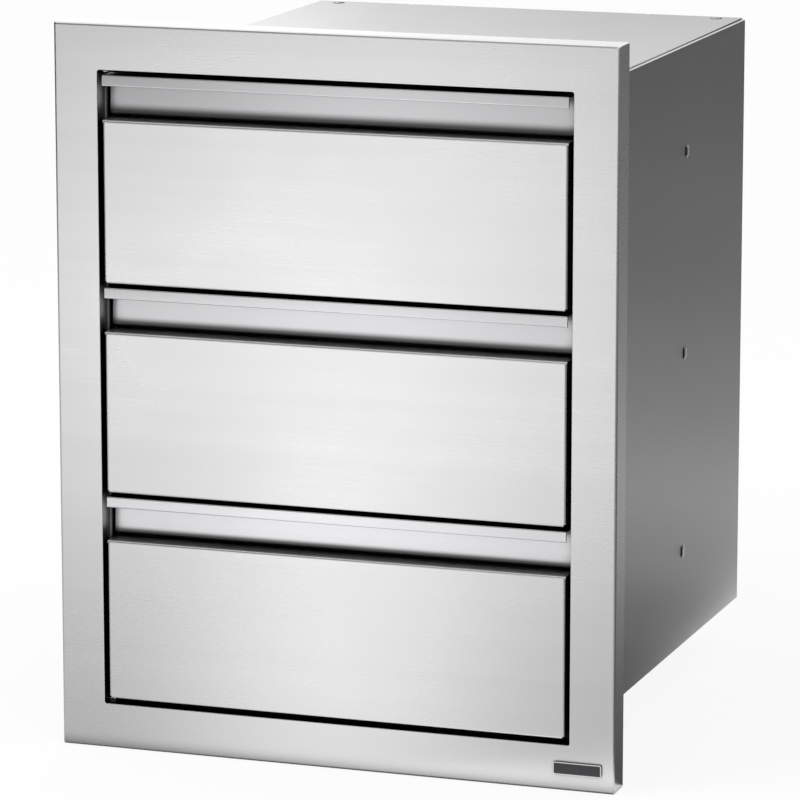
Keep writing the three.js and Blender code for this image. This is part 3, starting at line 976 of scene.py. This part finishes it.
def build_balls(stem, cage, body):
    low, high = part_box(f"{stem}_{cage}")
    count = int((high.y - low.y) / BALL_PITCH) - 1
    first = (low.y + high.y) / 2 - BALL_PITCH * (count - 1) / 2
    x = (low.x + high.x) / 2
    places = [(x, first + BALL_PITCH * k, z) for k in range(count)
              for z in (low.z + CAGE_SHEET / 2, high.z - CAGE_SHEET / 2)]
    return turned_object(f"{stem}_{cage}_balls", places, ball_outline(), (0, 1, 0), body,
                         ball_steel, BALL_STEPS)


balls = [build_balls(f"{drawer}_{name}", cage, f"{drawer}_{cage}s")
         for drawer in DRAWERS for name, _ in SIDES for cage in ("outer_cage", "inner_cage")]
print("ball sets:", len(balls))

# %% [markdown]
# Three rivets hold each drawer rail to the box, and their low heads show inside. A head is turned
# from eight points: a flat flange, a soft dome and a shallow dimple where the mandrel broke off.

# %% Rivets inside the drawers
RIVET_STEPS = 16
RIVET_SHARES = (0.1, 0.5, 0.88)
RIVET_HEAD = [(radius * MM, height * MM) for radius, height in (
    (0.0, 0.0), (3.0, 0.0), (3.0, 0.35), (2.6, 0.8), (1.9, 1.1), (1.2, 1.2), (1.0, 1.0), (0.0, 0.9))]


def build_rivets(drawer, name, side):
    low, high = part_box(f"{drawer}_box_tray")
    inner = side * (high.x - BOX_SHEET)
    places = [(inner, low.y + (high.y - low.y) * share, slide_level(drawer)) for share in RIVET_SHARES]
    return turned_object(f"{drawer}_{name}_rivets", places, RIVET_HEAD, (-side, 0, 0),
                         f"{drawer}_drawer", zinc, RIVET_STEPS)


rivets = [build_rivets(drawer, name, side) for drawer in DRAWERS for name, side in SIDES]
print("rivet rows:", len(rivets))

# %% [markdown]
# The rubber stops and the plate aren't bare metal. Moulded rubber and enamel have a fine uneven
# skin, so the handling clouds serve again, over fifty times smaller, for the tone and the bump.

# %% Rubber and enamel
SKIN_SCALE = 400.0
SKIN_BUMP = 0.2
SKIN_DEPTH = 0.05 * MM


def plain_material(name, colour, roughness, speckle):
    """A dark moulded or enamelled surface with a fine uneven skin."""
    material, tree, shader = new_material(name)
    shader.inputs["Roughness"].default_value = roughness
    place = node(tree, "ShaderNodeTexCoord")
    skin = node(tree, "ShaderNodeGroup", {"Scale": SKIN_SCALE}, node_tree=cloud_group)
    tone = node(tree, "ShaderNodeMix",
                {"A": (*colour, 1.0), "B": (*[c + speckle for c in colour], 1.0)}, data_type="RGBA")
    relief = node(tree, "ShaderNodeBump", {"Strength": SKIN_BUMP, "Distance": SKIN_DEPTH})
    wire(tree,
         (place.outputs["Object"], skin.inputs["Vector"]), (skin.outputs["Mask"], tone.inputs["Factor"]),
         (tone.outputs["Result"], shader.inputs["Base Color"]),
         (skin.outputs["Mask"], relief.inputs["Height"]),
         (relief.outputs["Normal"], shader.inputs["Normal"]))
    return material


rubber = plain_material("black_rubber", (0.02, 0.02, 0.02), 0.75, speckle=0.01)
enamel = plain_material("dark_enamel", (0.025, 0.025, 0.028), 0.25, speckle=0.004)
print("dark finishes:", rubber.name, enamel.name)

# %% [markdown]
# A lofted body is a stack of round-cornered rectangles, closed at both ends. The rubber stops at
# the rear of the slides are made this way, with a chamfer at each end as a moulding has.

# %% Rubber stops
STOP_CHAMFER = 1.0 * MM
STOP_CORNER = 1.5 * MM


def lofted_object(name, loops, body, nodes, material):
    shell = bmesh.new()
    rings = [[shell.verts.new(place) for place in loop] for loop in loops]
    for low, high in zip(rings, rings[1:]):
        for k in range(len(low)):
            n = (k + 1) % len(low)
            shell.faces.new([low[k], low[n], high[n], high[k]])
    shell.faces.new(rings[0])
    shell.faces.new(rings[-1])
    bmesh.ops.recalc_face_normals(shell, faces=shell.faces)
    return as_object(name, mesh_from(name, shell), body, nodes, material)


def build_stop(stem):
    low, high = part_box(f"{stem}_rail_stop")
    outline = ((STOP_CHAMFER, low.y), (0.0, low.y + STOP_CHAMFER),
               (0.0, high.y - STOP_CHAMFER), (STOP_CHAMFER, high.y))
    loops = [rounded_loop(low, high, inset, STOP_CORNER, depth) for inset, depth in outline]
    piece = lofted_object(f"{stem}_rail_stop_block", loops, "casing", [f"{stem}_rail_stop"],
                          rubber)
    bevelled(piece, SOFT_BEVEL, segments=3, angle=30)
    return piece


stops = [build_stop(f"{drawer}_{name}") for drawer in DRAWERS for name, _ in SIDES]
print("rubber stops:", len(stops))

# %% [markdown]
# The plain plate at the lower right of the frame carries nothing: a dark face inside a thin bright
# rim. The face is a loft, and the rim is a sheet with two soft shoulders laid over its edge.

# %% The plain plate
PLATE_CORNER = 1.5 * MM
PLATE_LEAST_CORNER = 0.3 * MM
PLATE_SHOULDER = 0.3 * MM
PLATE_SHOULDER_DEPTH = 0.4 * MM
RIM = 0.9 * MM
RIM_RISE = 0.25 * MM
RIM_SHEET = 0.12 * MM
RIM_SHOULDER = 0.25 * MM
RIM_SHOULDER_DEPTH = 0.15 * MM
RIM_OUTER_LAP = 0.3 * MM
RIM_INNER_LAP = 0.1 * MM
FACE_UNDER_RIM = RIM * 1.2


def build_plate():
    low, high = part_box("blank_badge")
    face = low.y + RIM_RISE
    face_outline = ((0.0, high.y), (0.0, face + PLATE_SHOULDER_DEPTH), (PLATE_SHOULDER, face),
                    (FACE_UNDER_RIM, face))
    loops = [rounded_loop(low, high, inset, max(PLATE_CORNER - inset, PLATE_LEAST_CORNER), depth)
             for inset, depth in face_outline]
    return lofted_object("blank_plate_face", loops, "casing", ["blank_badge"], enamel)


def build_plate_rim():
    low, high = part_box("blank_badge")
    face = low.y + RIM_RISE
    shoulder = low.y + RIM_SHOULDER_DEPTH
    rim_outline = ((0.0, face + RIM_OUTER_LAP), (0.0, shoulder), (RIM_SHOULDER, low.y),
                   (RIM - RIM_SHOULDER, low.y), (RIM, shoulder), (RIM, face + RIM_INNER_LAP))
    loops = [rounded_loop(low, high, inset, PLATE_CORNER - inset, depth)
             for inset, depth in rim_outline]
    rim = Sheet().patch(loops, closed=True)
    return sheet_object("blank_plate_rim", rim, RIM_SHEET, (0, -1, 0), "casing", [],
                        frame_steel)


plate, plate_rim = build_plate(), build_plate_rim()
print("plate:", plate.name, plate_rim.name)

# %% [markdown]
# The room is a pale floor under a white sky. Light Path shows the camera and the mirrors a floor
# that is mostly plain white. The small rest is the floor's own shading, which keeps the shadow, and
# the soft light that the floor throws up on the unit comes from that shading alone.

# %% Floor and sky
FLOOR_LEVEL = frame_low.z
FLOOR_HALF = 40.0
FLOOR_GREY = 0.85
FLOOR_ROUGHNESS = 0.9
WHITE_SHARE = 0.86


def square_mesh(name, corners):
    mesh = bpy.data.meshes.new(name)
    mesh.from_pydata([tuple(corner) for corner in corners], [], [(0, 1, 2, 3)])
    return mesh


def ray_share(tree, strength):
    """How much of the plain white a ray sees: camera, mirror and glass rays alike."""
    path = node(tree, "ShaderNodeLightPath")
    either = node(tree, "ShaderNodeMath", operation="MAXIMUM")
    any_of = node(tree, "ShaderNodeMath", operation="MAXIMUM")
    share = node(tree, "ShaderNodeMath", {1: strength}, operation="MULTIPLY")
    wire(tree,
         (path.outputs["Is Camera Ray"], either.inputs[0]),
         (path.outputs["Is Glossy Ray"], either.inputs[1]),
         (either.outputs[0], any_of.inputs[0]),
         (path.outputs["Is Transmission Ray"], any_of.inputs[1]),
         (any_of.outputs[0], share.inputs[0]))
    return share.outputs[0]


def make_floor():
    material, tree, shader = new_material("pale_floor")
    material.cycles.emission_sampling = "NONE"
    shader.inputs["Base Color"].default_value = (FLOOR_GREY, FLOOR_GREY, FLOOR_GREY, 1.0)
    shader.inputs["Roughness"].default_value = FLOOR_ROUGHNESS
    shader.inputs["Specular IOR Level"].default_value = 0.0
    white = node(tree, "ShaderNodeEmission", {"Strength": 1.0})
    blend = node(tree, "ShaderNodeMixShader")
    wire(tree,
         (ray_share(tree, WHITE_SHARE), blend.inputs["Fac"]), (shader.outputs["BSDF"], blend.inputs[1]),
         (white.outputs["Emission"], blend.inputs[2]),
         (blend.outputs["Shader"], tree.nodes["Material Output"].inputs["Surface"]))
    mesh = square_mesh("studio_floor", [(FLOOR_HALF * x, FLOOR_HALF * y, FLOOR_LEVEL)
                                        for x, y in ((-1, -1), (1, -1), (1, 1), (-1, 1))])
    mesh.materials.append(material)
    floor = bpy.data.objects.new("studio_floor", mesh)
    bpy.context.collection.objects.link(floor)


make_floor()
world = bpy.data.worlds.new("white_sky")
world.use_nodes = True
world.node_tree.nodes["Background"].inputs["Color"].default_value = (1.0, 1.0, 1.0, 1.0)
world.node_tree.nodes["Background"].inputs["Strength"].default_value = 1.0
bpy.context.scene.world = world
print("floor at", round(FLOOR_LEVEL, 4))

# %% [markdown]
# Metal shows whatever stands round it, and a photographer shapes it with cards and flags. These do
# the same: they are seen only in reflections, and each has a soft gradient along its two edges,
# given as pairs of metres and grey. Their product is the card's brightness.

# %% How a reflection card is made
PLAIN = ((0.0, 1.0),)


def shade(tree, position, stops):
    """A grey that changes softly with a position from 0 to 1."""
    ramp = node(tree, "ShaderNodeValToRGB")
    ramp.color_ramp.interpolation = "EASE"
    marks = ramp.color_ramp.elements
    while len(marks) > 1:
        marks.remove(marks[-1])
    for _ in stops[1:]:
        marks.new(1.0)
    for element, (share, grey) in zip(marks, stops):
        element.position = share
        element.color = (grey, grey, grey, 1.0)
    wire(tree, (position, ramp.inputs["Fac"]))
    return ramp.outputs["Color"]


def make_card(name, corner, across, up, across_stops, up_stops=PLAIN):
    """A card seen only in reflections. The stops are (metres along an edge, grey)."""
    corner, across, up = Vector(corner), Vector(across), Vector(up)
    mesh = square_mesh(name, (corner, corner + across, corner + across + up, corner + up))
    uv = mesh.uv_layers.new(name="card")
    for point, place in zip(uv.data, ((0, 0), (1, 0), (1, 1), (0, 1))):
        point.uv = place
    card = bpy.data.objects.new(name, mesh)
    bpy.context.collection.objects.link(card)
    for kind in ("camera", "diffuse", "transmission", "volume_scatter", "shadow"):
        setattr(card, f"visible_{kind}", False)
    material, tree, shader = new_material(name)
    material.cycles.emission_sampling = "NONE"
    tree.nodes.remove(shader)
    place = node(tree, "ShaderNodeTexCoord")
    split = node(tree, "ShaderNodeSeparateXYZ")
    wire(tree, (place.outputs["UV"], split.inputs["Vector"]))
    product = node(tree, "ShaderNodeMix", {"Factor": 1.0}, data_type="RGBA", blend_type="MULTIPLY")
    glow = node(tree, "ShaderNodeEmission")
    sides = [(distance / across.length, grey) for distance, grey in across_stops]
    heights = [(distance / up.length, grey) for distance, grey in up_stops]
    wire(tree,
         (shade(tree, split.outputs["X"], sides), product.inputs["A"]),
         (shade(tree, split.outputs["Y"], heights), product.inputs["B"]),
         (product.outputs["Result"], glow.inputs["Color"]),
         (glow.outputs["Emission"], tree.nodes["Material Output"].inputs["Surface"]))
    mesh.materials.append(material)
    return card


print("a plain card has the stops", PLAIN)

# %% [markdown]
# The fronts mirror the floor before them. Three cards in a row lie there, brightest near their
# middle and brighter with the distance, which gives the fronts their soft peak. Beyond them a tall
# card stands for what the upper parts and the round folds mirror, and one hangs over the unit.

# %% Cards in front and above
MIRRORED = Vector((-math.sin(CAMERA_YAW), -math.cos(CAMERA_YAW), 0.0))
SIDEWAYS = Vector((math.cos(CAMERA_YAW), -math.sin(CAMERA_YAW), 0.0))
UP = Vector((0.0, 0.0, 1.0))
ABOVE_FLOOR = 0.002
JUST_ABOVE = UP * (FLOOR_LEVEL + ABOVE_FLOOR)
FRONT = JUST_ABOVE + Vector((0.0, -0.03, 0.0))
FLOOR_CARD_HALF = 1.5


def make_front_floor_card(name, start, length, across_stops, along_stops):
    """A card on the floor, from a distance in front of the unit, towards what its fronts mirror."""
    corner = FRONT - SIDEWAYS * FLOOR_CARD_HALF + MIRRORED * start
    return make_card(name, corner, SIDEWAYS * 2 * FLOOR_CARD_HALF, MIRRORED * length, across_stops,
                     along_stops)


front_cards = [
    make_front_floor_card(
        "near_floor_card", 0.0, 0.8,
        [(0.0, 0.4), (1.0, 0.52), (1.27, 0.6), (1.5, 1.05), (1.73, 0.58), (2.0, 0.5), (3.0, 0.1)],
        [(0.0, 0.86), (0.3, 0.98), (0.8, 1.05)]),
    make_front_floor_card(
        "far_floor_card", 0.8, 1.2,
        [(0.0, 0.5), (1.0, 0.7), (1.22, 0.8), (1.48, 1.1), (1.77, 0.82), (2.1, 0.6), (3.0, 0.1)],
        [(0.0, 1.05), (0.6, 1.25), (1.2, 1.48)]),
    make_front_floor_card(
        "farthest_floor_card", 2.0, 1.2,
        [(0.0, 0.95), (1.0, 1.15), (1.3, 1.22), (1.5, 1.16), (1.77, 0.78), (2.1, 0.6), (3.0, 0.1)],
        [(0.0, 1.5), (0.8, 1.5), (1.2, 1.35)]),
    make_card(
        "front_wall_card", FRONT + MIRRORED * 3.2 - SIDEWAYS * 3.0, SIDEWAYS * 3.8, UP * 7.0,
        [(0.0, 0.3), (2.3, 0.3), (2.7, 0.4), (2.85, 0.75), (3.02, 1.15), (3.2, 0.75), (3.5, 0.5),
         (3.8, 0.4)],
        [(0.0, 0.9), (0.3, 0.8), (0.9, 0.85), (1.1, 0.55), (1.3, 0.4), (2.7, 0.4), (3.3, 0.55),
         (7.0, 0.65)]),
    make_card("ceiling_card", (-3.2, -1.3, 3.4), (6.4, 0.0, 0.0), (0.0, 2.3, 0.0), [(0.0, 1.15)]),
]
print("cards:", [c.name for c in front_cards])

# %% [markdown]
# The unit's right side is in shade. It mirrors a dark floor with one paler band and three dark
# flags, which stand low enough to leave the sky to the other views. A small card behind gives the
# casing's top its bright rear edge, and a nearly black flag keeps the left side from glaring.

# %% Cards and flags round the sides
FLAG_HEIGHT = 1.5
FLAG_GREY = 0.12
side_cards = [
    make_card(
        "right_floor_card", JUST_ABOVE + Vector((0.203, 0.0, 0.0)), (0.25, 3.4, 0.0), (3.0, 0.0, 0.0),
        [(0.0, 0.07), (0.3, 0.11), (0.55, 0.18), (0.8, 0.31), (1.05, 0.39), (1.6, 0.27), (2.4, 0.17),
         (3.4, 0.19)]),
    make_card(
        "right_front_floor_card", JUST_ABOVE + Vector((0.3, -3.0, -0.001)), (0.0, 3.0, 0.0),
        (3.0, 0.0, 0.0), [(0.0, 0.14), (2.6, 0.14), (3.0, 0.1)]),
    make_card(
        "right_back_flag", JUST_ABOVE + Vector((0.45, 3.4, 0.0)), (3.2, 0.0, 0.0), UP * FLAG_HEIGHT,
        [(0.0, FLAG_GREY)]),
    make_card(
        "right_side_flag", JUST_ABOVE + Vector((2.6, -1.0, 0.0)), (0.0, 4.4, 0.0), UP * FLAG_HEIGHT,
        [(0.0, FLAG_GREY)]),
    make_card(
        "right_front_flag", JUST_ABOVE + Vector((0.5, -3.2, 0.0)), (2.1, 2.2, 0.0), UP * FLAG_HEIGHT,
        PLAIN, [(0.0, FLAG_GREY), (0.5, 0.2), (1.0, 0.5), (1.5, 0.8)]),
    make_card(
        "back_card", (-1.2, 1.6, 0.5), (1.6, 0.0, 0.0), UP * 0.7,
        [(0.0, 1.8), (0.5, 1.5), (0.72, 1.12), (0.95, 0.96), (1.6, 0.9)],
        [(0.0, 0.5), (0.24, 0.6), (0.31, 0.9), (0.37, 1.2), (0.45, 1.35), (0.7, 1.2)]),
    make_card(
        "left_flag", JUST_ABOVE + Vector((-2.0, -2.2, 0.0)), (0.0, 6.2, 0.0), UP * 3.0, [(0.0, 0.05)]),
]
print("cards and flags:", [c.name for c in side_cards])

# %% [markdown]
# One large soft lamp above the camera's left gives the floor its gentle shadow. It is weak, so
# that a grey still renders as the grey it is, and it isn't seen in the metal.

# %% Lamp
LAMP_SIZE = 2.0
LAMP_POWER = 40.0
LAMP_PLACE = Vector((-1.8, -1.6, 2.6))
LAMP_TARGET = Vector((0.0, 0.0, 0.2))

lamp_data = bpy.data.lights.new("soft_lamp", "AREA")
lamp_data.shape = "RECTANGLE"
lamp_data.size = LAMP_SIZE
lamp_data.size_y = LAMP_SIZE
lamp_data.energy = LAMP_POWER
lamp = bpy.data.objects.new("soft_lamp", lamp_data)
lamp.visible_glossy = False
lamp.location = LAMP_PLACE
lamp.rotation_euler = (LAMP_PLACE - LAMP_TARGET).to_track_quat("Z", "Y").to_euler()
bpy.context.collection.objects.link(lamp)
print("lamp:", LAMP_POWER, "W")
